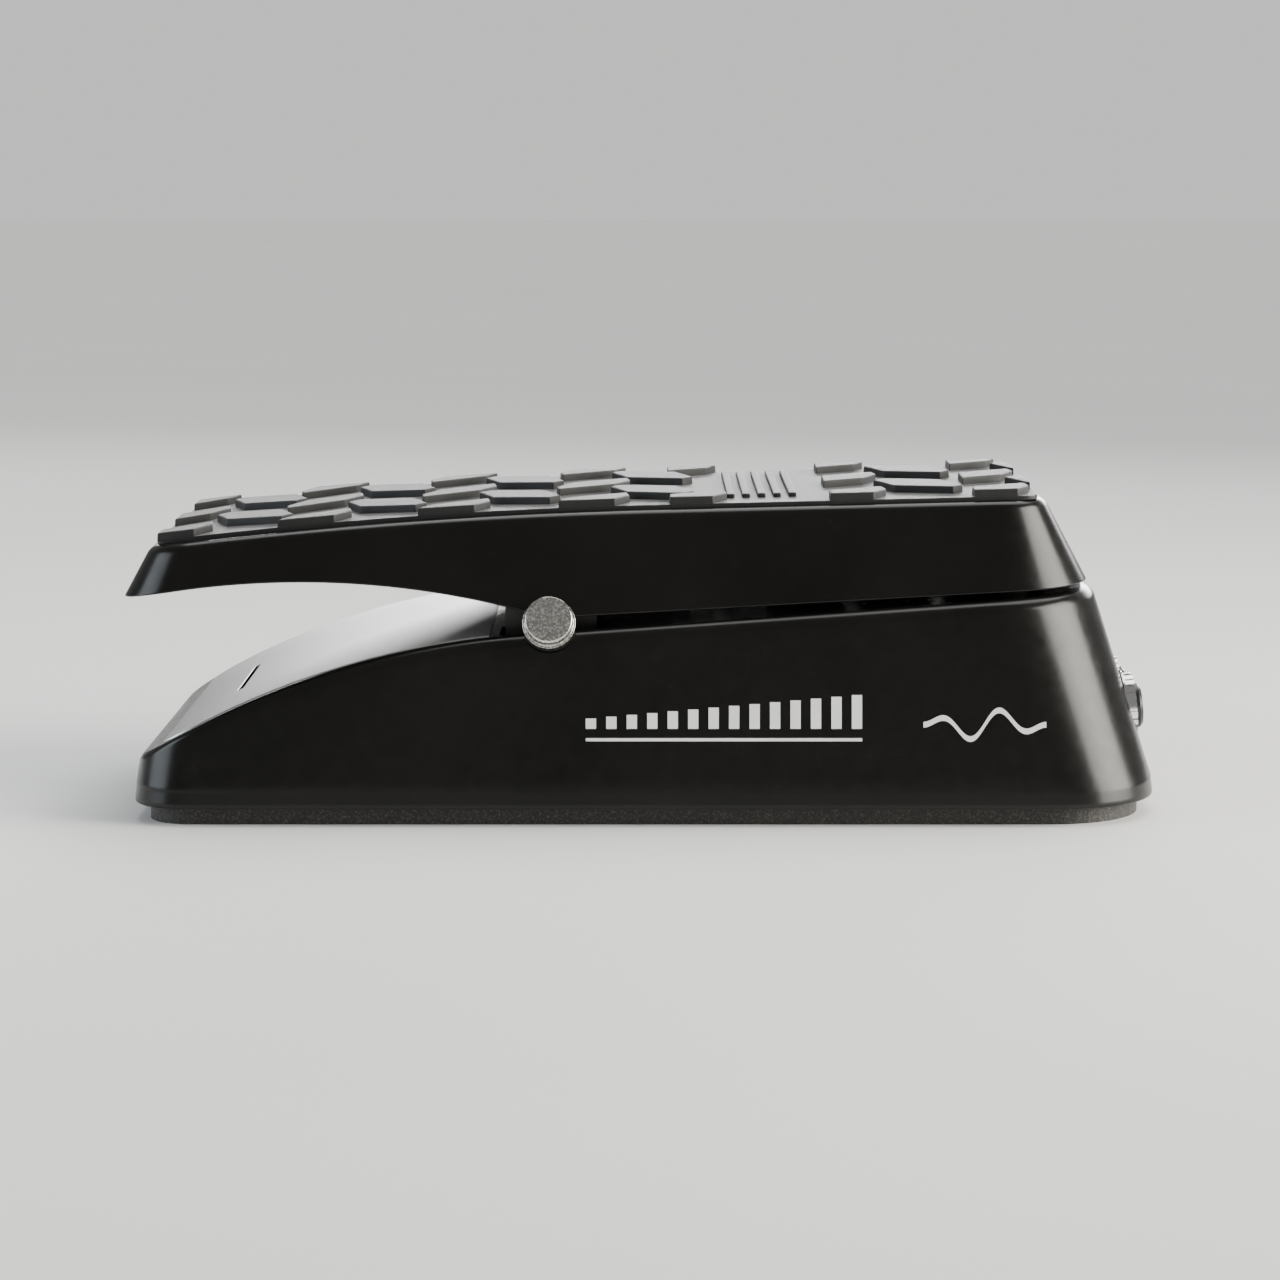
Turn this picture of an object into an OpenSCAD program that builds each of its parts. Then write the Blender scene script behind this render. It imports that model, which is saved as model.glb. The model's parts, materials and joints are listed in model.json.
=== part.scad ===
// Volume pedal: a die-cast rocker pedal whose treadle turns a potentiometer through a steel band.
// +X points to the toe end, +Y to the player's left, +Z up.
// The origin is the centre of the sole's resting face.

/* [Base] */
// Length of the base along X
base_len = 203.2; // [200:0.1:206]
// Width of the base along Y
base_w = 101.6; // [100:0.1:104]
// Side wall draft, degrees
base_side_draft = 8; // [6:0.5:9]
// Toe wall draft, degrees
base_toe_draft = 17.5; // [16:0.5:18]
// Heel wall draft, degrees
base_heel_draft = 8; // [6:0.5:9]
// Wall thickness of the castings
wall = 3.2; // [3:0.1:3.4]
// Height of the upright band round the base's foot
lip_h = 3.4; // [3:0.1:4]
// Slope of the toe side of the base's top, degrees
base_top_slope = 4; // [3.5:0.1:4.2]
// Radius of the heel side of the base's top
base_top_r = 167; // [165:0.5:169]

/* [Sole] */
// Thickness of the rubber sole
sole_t = 3.4; // [3.2:0.1:4.2]
// How far the sole stands in from the base's edge
sole_inset = 3; // [3:0.1:5]

/* [Treadle] */
// Half width of the treadle's top
treadle_top_hw = 37; // [36:0.1:37.5]
// Side skirt draft, degrees
treadle_side_draft = 17; // [16:0.5:17.5]
// End skirt draft, degrees
treadle_end_draft = 28.5; // [27:0.5:29]
// Rocking range from toe down to heel down, degrees
rock_range = 20; // [16:1:20]

/* [Tread pad] */
// Thickness of the rubber sheet under the blocks
pad_sheet = 0.8; // [0.6:0.1:1]
// Height of the pad from the casting to the top of the blocks
pad_h = 2.3; // [2:0.1:2.5]
// Half width of the pad
pad_hw = 34.5; // [33:0.5:34.5]
// Spacing along X of the blocks that lean toward the toe
straight_pitch = 27.8; // [27.4:0.1:28]
// Spacing along X of the blocks that lean toward the heel
turned_pitch = 26.9; // [26.5:0.1:27.2]
// Spacing of the rows of blocks along Y
row_pitch = 16; // [15.8:0.1:16.5]

/* [Pivot] */
// Position of the pivot axis along X
pivot_x = -19.2; // [-19.4:0.1:-19]
// Height of the pivot axis
pivot_z = 39.4; // [39.2:0.1:39.6]
// Radius of the pivot pins
axle_r = 3; // [2.9:0.05:3]

/* [Drive] */
// Radius of the drive sector's rim about the pivot
sector_r = 45.8; // [45.6:0.1:46]
// Radius of the drum on the potentiometer shaft
drum_r = 4.4; // [4.2:0.1:4.5]
// Thickness of the steel band
band_t = 0.2; // [0.15:0.05:0.2]

/* [Jacks] */
// Spacing of the three jacks along Y
jack_pitch = 23; // [20:0.5:23]
// Height at which the jack axes leave the toe wall
jack_z = 19.8; // [19.5:0.1:20]
// How far the jack axes point above level, degrees
jack_tilt = 5; // [4:0.5:6]
// Radius of the plug bore
plug_r = 3.2; // [3.18:0.01:3.25]

/* [Hidden] */

$fn = 48;
eps = 0.01;          // thin slab that a hull stretches between
gap = 0.3;           // air between pieces that move past each other
corner_fn = 48;      // facets of a rounded corner

base_z = sole_t;                          // underside of the base casting
lip_z = base_z + lip_h;                   // top of the upright band
lip_step = 0.2;                           // the walls start this far inside the band
heel_corner_r = 12;
toe_corner_r = 22;
base_hull_top = 52;                       // above the highest point of the base's top
top_tangent_x = -24;                      // where the heel arc of the top meets its toe slope
top_tangent_z = 37.26;
arc_cx = top_tangent_x + base_top_r * sin(base_top_slope);
arc_cz = top_tangent_z - base_top_r * cos(base_top_slope);
heel_arc_end = 33;                        // slope of the arc where it leaves the heel end, degrees
profile_steps = 26;

plate_t = 1;                              // heel plate sheet
plate_proud = 0.2;                        // how far the sheet stands above the casting
plate_edge = 3.1;                         // casting left bare outside the sheet
plate_end_slope = 6.4;                    // the sheet's pivot end, as the arc's slope there
plate_heel_slope = 29.8;                  // the sheet's heel end
bottom_t = 1.5;                           // bottom plate sheet
bottom_top = base_z + bottom_t;

treadle_ref_z = 63;                       // height at which treadle_top_hw is measured
treadle_low_z = 38;
treadle_top_z = 68;
treadle_heel_x = -98.4;                   // heel end of the top, lower than its toe end by treadle_heel_drop
treadle_heel_drop = 9.3;
treadle_toe_x = 79;
tread_slope = 1.4;                        // toe side of the treadle's top, degrees
tread_r = 1000;                           // heel side of the treadle's top
tread_tangent_x = 0;
tread_tangent_z = 60.9;
skirt_arc_r = 175;                        // concave lower edge on the heel side
skirt_arc_x = -68;
skirt_arc_top = 47.1;
skirt_kink_z = 40.3;                      // lowest point of the skirt, at the pivot
skirt_slope = 3.1;                        // lower edge on the toe side, degrees

block_x0 = -28;                           // bearing blocks
block_x1 = -10;
block_y0 = 31;
block_y1 = 38;
block_mid_y = (block_y0 + block_y1) / 2;
block_z0 = 27;
block_z1 = 46;
bush_r = 4.5;
bush_clear = 0.05;
ear_r = 4.8;
ear_y0 = 38.5;
ear_y1 = 42.7;
cap_tilt = 24;                            // the caps face up along the skirt's slope
cap_y = 45.6;
cap_flange_r = 5.2;
cap_flange_h = 1;
cap_ring_r = 4.8;
cap_ring_h = 2.1;
cap_edge_r = 4.5;
cap_edge_h = 0.5;
m3_r = 1.5;
m3_head_r = 2.8;
m3_head_h = 1.9;

drum_angle = -16;                         // direction from the pivot to the drum, degrees
drum_gap = 0.1;
drum_dist = sector_r + drum_r + 2 * band_t + drum_gap;
drum_x = pivot_x + drum_dist * cos(drum_angle);
drum_z = pivot_z + drum_dist * sin(drum_angle);
rim_spare = 7.6;                          // rim left beyond the drum at either end of the travel, degrees
sector_top_a = drum_angle + rim_spare;    // ends of the sector's rim at rest
sector_low_a = drum_angle - rock_range - rim_spare;
sector_inner_r = 37.5;
sector_hy = 3;
slot_x0 = 5.5;                            // slot in the base's top for the sector
slot_x1 = 29;
slot_hw = 7;
slot_z = 33;
foot_z0 = 53;
foot_z1 = 56;
sector_foot_x = 14;
sector_screw_y = 6.3;
clamp_in = 1.8;                           // clamps' distance in from the rim's ends, degrees
clamp_t = 0.5;
clamp_screw_r = 0.8;
band_hy = 2.5;

bracket_y = 11;                           // potentiometer bracket sheet
bracket_t = 1.5;
pot_y = bracket_y + bracket_t;
pot_r = 8;
pot_depth = 9;
shaft_r = 3;
drum_y0 = -5;
drum_y1 = 4;
drum_screw_y = -3.8;

jack_seat = -1.1;                         // spot face of the nuts, measured out from the toe wall
jack_proud = 2.7;                         // the nose's end, measured out from the toe wall
jack_pad_r = 7.6;                         // raised pad outside the wall
jack_collar_r = 9.2;                      // thickened wall behind each pad
jack_nose_r = 4.6;
jack_body_hw = 7.6;
jack_body_hh = 6.2;
jack_depth = 20;
jack_rear = -wall - jack_depth;
jack_back_t = 2;
jack_wall_gap = 2.5;                      // clears the sloping wall inside
jack_nut_r = 6.7;
jack_nut_t = 1.9;
jack_nut_room = 0.7;                      // air round the nut in its spot face
jack_notches = 24;
jack_washer_t = 0.4;
contact_y = 5.2;
board_t = 1.6;
board_face = jack_rear - 0.4;

bottom_screws = [[-86, 38], [0, 41], [80, 40]];
bumper_toe = [72, 26];
bumper_heel = [-88.8, 26];

// ---- helpers ------------------------------------------------------------------------------------

// Cylinder along +Y from y = a to y = b.
module along_y(r, a, b) { translate([0, b, 0]) rotate([90, 0, 0]) cylinder(r = r, h = b - a); }
// Cylinder along +X from x = a to x = b.
module along_x(r, a, b) { translate([a, 0, 0]) rotate([0, 90, 0]) cylinder(r = r, h = b - a); }
// Children, and their mirror image across the pedal's middle plane.
module both_sides() { children(); mirror([0, 1, 0]) children(); }
// A side outline drawn in X and Z, spread over the width from y = -hw to y = hw.
module across(hw) { translate([0, hw, 0]) rotate([90, 0, 0]) linear_extrude(2 * hw) children(); }

// Four discs at the corners of a rounded oblong at height z.
module corner_discs(z, x0, x1, hw, r0, r1) {
    for (c = [[x0 + r0, r0], [x1 - r1, r1]], s = [-1, 1])
        translate([c[0], s * (hw - c[1]), z]) cylinder(r = c[1], h = eps, $fn = corner_fn);
}

// ---- base ---------------------------------------------------------------------------------------

function base_x0(z) = -base_len / 2 + lip_step + (z - lip_z) * tan(base_heel_draft);
function base_x1(z) = base_len / 2 - lip_step - (z - lip_z) * tan(base_toe_draft);
function base_hw(z) = base_w / 2 - lip_step - (z - lip_z) * tan(base_side_draft);
// Height of the base's top, moved by off along its normal.
function base_top(x, off = 0) = x > top_tangent_x
    ? top_tangent_z + (x - top_tangent_x) * tan(base_top_slope) + off / cos(base_top_slope)
    : arc_cz + sqrt(pow(base_top_r + off, 2) - pow(x - arc_cx, 2));
function arc_point(a, off) = [arc_cx - (base_top_r + off) * sin(a), arc_cz + (base_top_r + off) * cos(a)];
function arc_run(a0, a1, off) =
    [for (i = [0:profile_steps]) arc_point(a0 + (a1 - a0) * i / profile_steps, off)];

module drafted_base(inset, z0) {
    hull() for (z = [z0, base_hull_top])
        corner_discs(z, base_x0(z) + inset, base_x1(z) - inset, base_hw(z) - inset,
                     heel_corner_r - inset, toe_corner_r - inset);
}
// Everything under the base's top, moved by off along its normal.
module under_base_top(off) {
    across(60) polygon(concat(
        [[110, -1], [110, base_top(110, off)]],
        arc_run(base_top_slope, heel_arc_end + 8, off),
        [[-130, arc_point(heel_arc_end + 8, off)[1]], [-130, -1]]));
}
// The space inside the side walls and under the top.
module base_cavity() {
    intersection() {
        drafted_base(wall, base_z - 1);
        under_base_top(-wall);
    }
}
module screw_columns() {
    for (p = bottom_screws)
        translate([p[0], p[1], bottom_top]) cylinder(r = 4, h = 45);
}
module pivot_ledge() {
    translate([block_x0 - 2, 29, block_z0 - 5]) cube([block_x1 - block_x0 + 4, 18, 5]);
}
// Opening in the top round each bearing block, where the treadle's ear swings.
module pivot_pocket() {
    translate([block_x0 - 1, block_y0 - 0.5, block_z0])
        cube([block_x1 - block_x0 + 1.6, 13, 20]);
    translate([pivot_x, 0, pivot_z]) {
        along_y(axle_r + 0.6, 40, 55);
        // the caps turn clear of the wall
        along_y(cap_flange_r + 0.4, cap_y - gap, 55);
    }
    translate([pivot_x - axle_r - 0.6, 40, pivot_z]) cube([2 * axle_r + 1.2, 15, 15]);
}
module base_housing() {
    color([0.035, 0.035, 0.04]) difference() {
        intersection() {
            union() {
                hull() {
                    corner_discs(base_z, -base_len / 2, base_len / 2, base_w / 2,
                                 heel_corner_r, toe_corner_r);
                    corner_discs(lip_z, -base_len / 2 + 0.1, base_len / 2 - 0.1, base_w / 2 - 0.1,
                                 heel_corner_r, toe_corner_r);
                }
                drafted_base(0, lip_z);
                for (y = jack_places) jack_frame(y) along_x(jack_pad_r, jack_seat - 3, jack_seat);
            }
            under_base_top(0);
        }
        difference() {
            base_cavity();
            both_sides() {
                screw_columns();
                pivot_ledge();
            }
            // pads that the potentiometer bracket hangs from
            for (x = bracket_screw_x) translate([x, bracket_screw_y, bracket_flange_top])
                cylinder(r = 4, h = 20);
            for (y = jack_places) jack_frame(y)
                along_x(jack_collar_r, gap - wall - jack_wall_gap, 10);
        }
        both_sides() {
            for (p = bottom_screws) translate([p[0], p[1], base_z]) cylinder(r = m3_r, h = 9);
            pivot_pocket();
            for (x = pivot_screw_x) translate([x, block_mid_y, 20]) cylinder(r = m3_r + 0.1, h = 8);
        }
        // way in for the key that turns the tension screw
        translate([pivot_x, -block_mid_y, 20]) cylinder(r = 3, h = 8);
        // slot that the drive sector swings through
        translate([slot_x0, -slot_hw, slot_z]) cube([slot_x1 - slot_x0, 2 * slot_hw, 14]);
        heel_plate_recess();
        for (p = stud_places) stud_frame(p) translate([0, 0, -wall - 1]) cylinder(r = m3_r + 0.1, h = 6);
        for (x = bracket_screw_x) translate([x, bracket_screw_y, bracket_flange_top - 1])
            cylinder(r = m3_r, h = 5);
        for (y = jack_places) jack_frame(y) {
            along_x(jack_nose_r + 0.15, -10, 10);
            along_x(jack_nut_r + jack_nut_room, jack_seat, 20);
        }
    }
}

// ---- heel plate ---------------------------------------------------------------------------------

stud_slopes = [12, 24];
stud_places = [for (a = stud_slopes, y = [-30, 30]) [a, y]];
module stud_frame(p) {
    q = arc_point(p[0], 0);
    translate([q[0], p[1], q[1]]) rotate([0, -p[0], 0]) children();
}
module plate_outline(off_top, off_low) {
    across(60) polygon(concat(
        arc_run(plate_end_slope, plate_heel_slope, off_top),
        arc_run(plate_heel_slope, plate_end_slope, off_low)));
}
module heel_plate_recess() {
    intersection() {
        plate_outline(5, plate_proud - plate_t);
        drafted_base(plate_edge - 0.1, lip_z);
    }
}
module heel_plate() {
    color([0.78, 0.78, 0.76]) {
        difference() {
            intersection() {
                plate_outline(plate_proud, plate_proud - plate_t);
                drafted_base(plate_edge, lip_z);
            }
            // slot across the sheet
            stud_frame([25, 0]) translate([-0.65, -17.3, -5]) cube([1.3, 34.6, 10]);
        }
        for (p = stud_places) stud_frame(p)
            translate([0, 0, -wall - 4]) cylinder(r = m3_r, h = wall + 4 + plate_proud - plate_t / 2);
    }
}
module heel_plate_nuts() {
    color([0.7, 0.7, 0.7]) for (p = stud_places) stud_frame(p)
        translate([0, 0, -wall - 2.7]) difference() {
            cylinder(r = 3.1, h = 2.4, $fn = 6);
            translate([0, 0, -1]) cylinder(r = m3_r, h = 5);
        }
}

// ---- bottom -------------------------------------------------------------------------------------

module plan_outline(inset) {
    heel = [-base_len / 2 + heel_corner_r, heel_corner_r];
    toe = [base_len / 2 - toe_corner_r, toe_corner_r];
    hull() for (c = [heel, toe], s = [-1, 1])
        translate([c[0], s * (base_w / 2 - c[1])]) circle(r = c[1] - inset, $fn = corner_fn);
}
module bottom_holes(r) {
    both_sides() for (p = bottom_screws) translate([p[0], p[1], -1]) cylinder(r = r, h = 20);
}
module tension_way(r) { translate([pivot_x, -block_mid_y, -1]) cylinder(r = r, h = 20); }
module bottom_plate() {
    color([0.12, 0.12, 0.13]) difference() {
        translate([0, 0, base_z]) linear_extrude(bottom_t) plan_outline(wall + 0.8);
        bottom_holes(m3_r + 0.2);
        tension_way(3);
    }
}
module rubber_sole() {
    color([0.05, 0.05, 0.05]) difference() {
        linear_extrude(sole_t) plan_outline(sole_inset);
        bottom_holes(4);
        tension_way(4);
    }
}
module bottom_plate_screws() {
    color([0.25, 0.25, 0.27]) both_sides() for (p = bottom_screws)
        translate([p[0], p[1], base_z]) difference() {
            union() {
                translate([0, 0, -m3_head_h]) cylinder(r = m3_head_r, h = m3_head_h);
                cylinder(r = m3_r, h = 8.5);
            }
            translate([0, 0, -m3_head_h - 0.1]) cross_recess();
        }
}
module cross_recess() {
    for (a = [0, 90]) rotate(a) translate([-1.6, -0.35, 0]) cube([3.2, 0.7, 1.2]);
}

// ---- pivot --------------------------------------------------------------------------------------

pivot_screw_x = [-24.6, -13.8];
module pivot_block() {
    difference() {
        translate([block_x0, block_y0, block_z0])
            cube([block_x1 - block_x0, block_y1 - block_y0, block_z1 - block_z0]);
        // top corners slope away from the treadle's web
        for (s = [-1, 1]) translate([(block_x0 + block_x1) / 2 + s * 12.2, 20, block_z1 + 2.2])
            rotate([0, 45, 0]) cube([9, 60, 9], center = true);
        translate([pivot_x, 0, pivot_z]) along_y(bush_r, 20, 50);
        for (x = pivot_screw_x) translate([x, block_mid_y, block_z0 - 1]) cylinder(r = m3_r, h = 7);
    }
}
module right_pivot_block() {
    color([0.1, 0.095, 0.09]) difference() {
        mirror([0, 1, 0]) pivot_block();
        translate([pivot_x, -block_mid_y, block_z0 - 1]) cylinder(r = 2.55, h = 12);
    }
}
module left_pivot_block() { color([0.1, 0.095, 0.09]) pivot_block(); }
module pivot_bush() {
    translate([pivot_x, 0, pivot_z]) difference() {
        along_y(bush_r, block_y0, block_y1);
        along_y(axle_r + bush_clear, 20, 50);
    }
}
module right_pivot_bush() {
    color([0.72, 0.5, 0.25]) difference() {
        mirror([0, 1, 0]) pivot_bush();
        translate([pivot_x, -block_mid_y, block_z0]) cylinder(r = 2.55, h = 12);
    }
}
module left_pivot_bush() { color([0.72, 0.5, 0.25]) pivot_bush(); }
module pivot_block_screws() {
    color([0.6, 0.6, 0.62]) both_sides() for (x = pivot_screw_x)
        translate([x, block_mid_y, block_z0 - 5]) difference() {
            union() {
                translate([0, 0, -m3_head_h]) cylinder(r = 2.5, h = m3_head_h);
                cylinder(r = m3_r, h = 10.5);
            }
            translate([0, 0, -m3_head_h - 0.1]) cross_recess();
        }
}
module tension_screw() {
    color([0.2, 0.2, 0.21]) translate([pivot_x, -block_mid_y, block_z0 + 0.2]) difference() {
        cylinder(r = 2.5, h = 5.6);
        translate([0, 0, -1]) cylinder(r = 1.45, h = 3.6, $fn = 6);
    }
}
module brake_plug() {
    color([0.9, 0.9, 0.86]) translate([pivot_x, -block_mid_y, block_z0 + 5.9])
        cylinder(r = 2.4, h = pivot_z - axle_r - gap / 3 - block_z0 - 5.9);
}
module pivot_pins() {
    color([0.75, 0.75, 0.76]) both_sides() translate([pivot_x, 0, pivot_z])
        along_y(axle_r, block_y0, cap_y + 1.5);
}
module pivot_cap() {
    difference() {
        translate([pivot_x, cap_y, pivot_z]) rotate([-90 + cap_tilt, 0, 0]) {
            cylinder(r = cap_flange_r, h = cap_flange_h);
            translate([0, 0, cap_flange_h]) cylinder(r = cap_ring_r, h = cap_ring_h);
            translate([0, 0, cap_flange_h + cap_ring_h])
                cylinder(r1 = cap_ring_r, r2 = cap_edge_r, h = cap_edge_h);
        }
        translate([pivot_x, 0, pivot_z]) along_y(axle_r, 40, cap_y + 1.5);
    }
}
module right_pivot_cap() { color([0.62, 0.61, 0.58]) mirror([0, 1, 0]) pivot_cap(); }
module left_pivot_cap() { color([0.62, 0.61, 0.58]) pivot_cap(); }
module thrust_washers() {
    color([0.92, 0.92, 0.88]) both_sides() translate([pivot_x, 0, pivot_z]) difference() {
        along_y(ear_r, block_y1 + 0.1, ear_y0 - 0.05);
        along_y(axle_r, 30, 50);
    }
}

// ---- treadle ------------------------------------------------------------------------------------

function treadle_hw(z) = treadle_top_hw + (treadle_ref_z - z) * tan(treadle_side_draft);
function treadle_x0(z) = treadle_heel_x - (treadle_ref_z - treadle_heel_drop - z) * tan(treadle_end_draft);
function treadle_x1(z) = treadle_toe_x + (treadle_ref_z - z) * tan(treadle_end_draft);
function tread_cx() = tread_tangent_x + tread_r * sin(tread_slope);
function tread_cz() = tread_tangent_z - tread_r * cos(tread_slope);
// Height of the treadle's top, moved by off along its normal.
function tread_top(x, off = 0) = x > tread_tangent_x
    ? tread_tangent_z + (x - tread_tangent_x) * tan(tread_slope) + off / cos(tread_slope)
    : tread_cz() + sqrt(pow(tread_r + off, 2) - pow(x - tread_cx(), 2));
function skirt_low(x) = x < pivot_x
    ? skirt_arc_top - skirt_arc_r + sqrt(pow(skirt_arc_r, 2) - pow(x - skirt_arc_x, 2))
    : skirt_kink_z + (x - pivot_x) * tan(skirt_slope);
function tread_run(off) = concat(
    [for (i = [0:profile_steps]) let (x = -125 + 125 * i / profile_steps) [x, tread_top(x, off)]],
    [[110, tread_top(110, off)]]);

module treadle_hull(inset) {
    hull() for (l = [[treadle_low_z, 12, 20], [treadle_top_z, 4.5, 7]])
        corner_discs(l[0], treadle_x0(l[0]) + inset, treadle_x1(l[0]) - inset, treadle_hw(l[0]) - inset,
                     max(l[1] - inset, 1.5), max(l[2] - inset, 1.5));
}
module between_skirt_and_top(off_top, off_low) {
    across(60) polygon(concat(
        tread_run(off_top),
        [[110, skirt_low(110) + off_low]],
        [for (i = [0:profile_steps]) let (x = pivot_x + (-125 - pivot_x) * i / profile_steps)
            [x, skirt_low(min(x, pivot_x - eps)) + off_low]]));
}
module treadle_ears() {
    both_sides() hull() {
        translate([pivot_x, 0, pivot_z]) along_y(ear_r, ear_y0, ear_y1 - 2.2);
        translate([pivot_x - ear_r, ear_y0, 50]) cube([2 * ear_r, 1, 3]);
    }
    both_sides() translate([pivot_x, 0, pivot_z]) along_y(ear_r, ear_y0, ear_y1);
}
module treadle_bosses() {
    for (s = [-1, 1]) translate([sector_foot_x, s * sector_screw_y, foot_z1]) cylinder(r = 4.5, h = 5);
    both_sides() {
        translate([bumper_toe[0], bumper_toe[1], stop_z]) cylinder(r = 5, h = 62 - stop_z);
        translate([bumper_heel[0], bumper_heel[1], 48]) cylinder(r = 4.5, h = 7);
    }
    // ribs under the top
    for (x = [-70, -45, 42, 60]) translate([x - 1, -38, 50]) cube([2, 76, 9]);
}
stop_z = base_top(bumper_toe[0]) + 3 + gap;        // underside of the treadle's toe stops
module treadle_casting() {
    color([0.035, 0.035, 0.04]) difference() {
        union() {
            difference() {
                intersection() {
                    treadle_hull(0);
                    between_skirt_and_top(0, 0);
                }
                difference() {
                    intersection() {
                        treadle_hull(wall);
                        between_skirt_and_top(-wall, -5);
                    }
                    intersection() {
                        treadle_bosses();
                        treadle_hull(1);
                    }
                }
            }
            treadle_ears();
        }
        translate([pivot_x, 0, pivot_z]) along_y(axle_r, -60, 60);
        for (s = [-1, 1]) translate([sector_foot_x, s * sector_screw_y, foot_z1 - 1])
            cylinder(r = m3_r, h = 4);
        both_sides() translate([pivot_x, (ear_y0 + ear_y1) / 2, pivot_z]) rotate([0, 180, 0])
            cylinder(r = m3_r, h = 8);
    }
}
module pin_set_screws() {
    color([0.2, 0.2, 0.21]) both_sides() translate([pivot_x, (ear_y0 + ear_y1) / 2, pivot_z - axle_r - 1.7])
        difference() {
            cylinder(r = m3_r, h = 1.6);
            translate([0, 0, -1]) cylinder(r = 0.8, h = 1.8, $fn = 6);
        }
}
module toe_bumpers() {
    color([0.05, 0.05, 0.05]) both_sides()
        translate([bumper_toe[0], bumper_toe[1], base_top(bumper_toe[0])]) rotate([0, -base_top_slope, 0])
            translate([0, 0, 0.02]) cylinder(r1 = 4.6, r2 = 4, h = 2.6);
}
module heel_bumpers() {
    color([0.05, 0.05, 0.05]) both_sides()
        translate([bumper_heel[0], bumper_heel[1], 45.4]) cylinder(r1 = 3.6, r2 = 4.2, h = 2.6);
}

// ---- tread pad ----------------------------------------------------------------------------------

pad_x0 = -97.4;
pad_x1 = 77.5;
straight_x0 = -94.4;                      // middle of the first block in the straight rows
turned_x0 = -79.6;                        // middle of the first block in the rows between
turned_stretch = 1.06;
squared_toe_x = [40.2, 68.7];             // blocks with a squared heel end
squared_edge_x = 8.4;
squared_cut = -4;                         // that end, from the block's middle
rib_x0 = 15.6;                            // plain ribbed panel between the blocks
rib_pitch = 3.1;
rib_w = 1.6;
rib_hw = 25;
// Six corners of a block about its middle. Rows alternate which way the blocks lean.
function block_a() = let (tip = [7, 9.8], shoulder = [7.6, 4.8], waist = [4.4, -3.4])
    [-tip, waist, shoulder, tip, -waist, -shoulder];
function block_b() = let (tip = [6, -10.5], shoulder = [8.1, -7.5], waist = [4.9, 5])
    [-tip, -shoulder, -waist, tip, shoulder, waist];
module pad_plan(x0, x1, hw, r) {
    hull() for (x = [x0 + r, x1 - r], y = [-hw + r, hw - r]) translate([x, y]) circle(r = r, $fn = 32);
}
module pad_layer(low, high) {
    across(pad_hw + 1) polygon(concat(
        [for (i = [0:profile_steps]) let (x = -110 + 110 * i / profile_steps) [x, tread_top(x, high)]],
        [[100, tread_top(100, high)], [100, tread_top(100, low)]],
        [for (i = [profile_steps:-1:0]) let (x = -110 + 110 * i / profile_steps) [x, tread_top(x, low)]]));
}
module squared_block(x, row) {
    intersection() {
        translate([x, row * row_pitch]) polygon(block_a());
        translate([x + squared_cut, -60]) square([30, 120]);
    }
}
module block_plan() {
    intersection() {
        union() {
            for (row = [-2, 0, 2]) {
                for (k = [0:3]) translate([straight_x0 + k * straight_pitch, row * row_pitch])
                    polygon(block_a());
                for (x = squared_toe_x) squared_block(x, row);
            }
            for (row = [-2, 2]) squared_block(squared_edge_x, row);
            for (row = [-1, 1], k = [0, 1, 2, 3, 5, 6])
                translate([turned_x0 + k * turned_pitch, row * row_pitch])
                    scale([turned_stretch, 1]) polygon(block_b());
        }
        translate([pad_x0, -pad_hw]) square([pad_x1 - pad_x0, 2 * pad_hw]);
    }
}
module tread_pad() {
    color([0.06, 0.06, 0.06]) {
        intersection() {
            translate([0, 0, 40]) linear_extrude(40) pad_plan(pad_x0, pad_x1, pad_hw, 3);
            union() {
                pad_layer(0.02, pad_sheet);
                intersection() {
                    pad_layer(0.02, pad_h);
                    translate([0, 0, 40]) linear_extrude(40) block_plan();
                }
                intersection() {
                    pad_layer(0.02, pad_h - 0.6);
                    for (i = [0:4]) translate([rib_x0 + 0.4 + i * rib_pitch, -rib_hw, 40])
                        cube([rib_w, 2 * rib_hw, 40]);
                }
            }
        }
    }
}

// ---- drive --------------------------------------------------------------------------------------

function ring_point(r, a) = [pivot_x + r * cos(a), pivot_z + r * sin(a)];
module ring_sector(r0, r1, a0, a1) {
    n = 30;
    polygon(concat(
        [for (i = [0:n]) ring_point(r1, a0 + (a1 - a0) * i / n)],
        [for (i = [n:-1:0]) ring_point(r0, a0 + (a1 - a0) * i / n)]));
}
module drive_sector() {
    color([0.82, 0.82, 0.78]) difference() {
        union() {
            across(sector_hy) {
                ring_sector(sector_inner_r, sector_r, sector_low_a, sector_top_a);
                polygon([[8, foot_z0 + 0.5], [23, foot_z0 + 0.5], ring_point(sector_r, sector_top_a),
                         ring_point(sector_inner_r, sector_top_a - 12), [9, 40]]);
            }
            translate([sector_foot_x - 10, -9.6, foot_z0]) cube([20, 19.2, foot_z1 - foot_z0]);
        }
        for (s = [-1, 1]) translate([sector_foot_x, s * sector_screw_y, foot_z0 - 1])
            cylinder(r = m3_r + 0.1, h = 6);
        for (e = band_ends) band_end_frame(e) translate([0, 0, -5]) cylinder(r = clamp_screw_r, h = 8);
        // lightening hole
        translate([16.5, 0, 44]) along_y(4, -10, 10);
    }
}
module sector_screws() {
    color([0.6, 0.6, 0.62]) for (s = [-1, 1])
        translate([sector_foot_x, s * sector_screw_y, foot_z0]) difference() {
            union() {
                translate([0, 0, -m3_head_h]) cylinder(r = m3_head_r, h = m3_head_h);
                cylinder(r = m3_r, h = foot_z1 - foot_z0 + 2.8);
            }
            translate([0, 0, -m3_head_h - 0.1]) cross_recess();
        }
}
module drive_band() {
    color([0.8, 0.8, 0.8]) difference() {
        across(band_hy) ring_sector(sector_r, sector_r + band_t, sector_low_a, sector_top_a);
        for (e = band_ends) band_end_frame(e) translate([0, 0, -5]) cylinder(r = clamp_screw_r, h = 8);
    }
}
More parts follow.
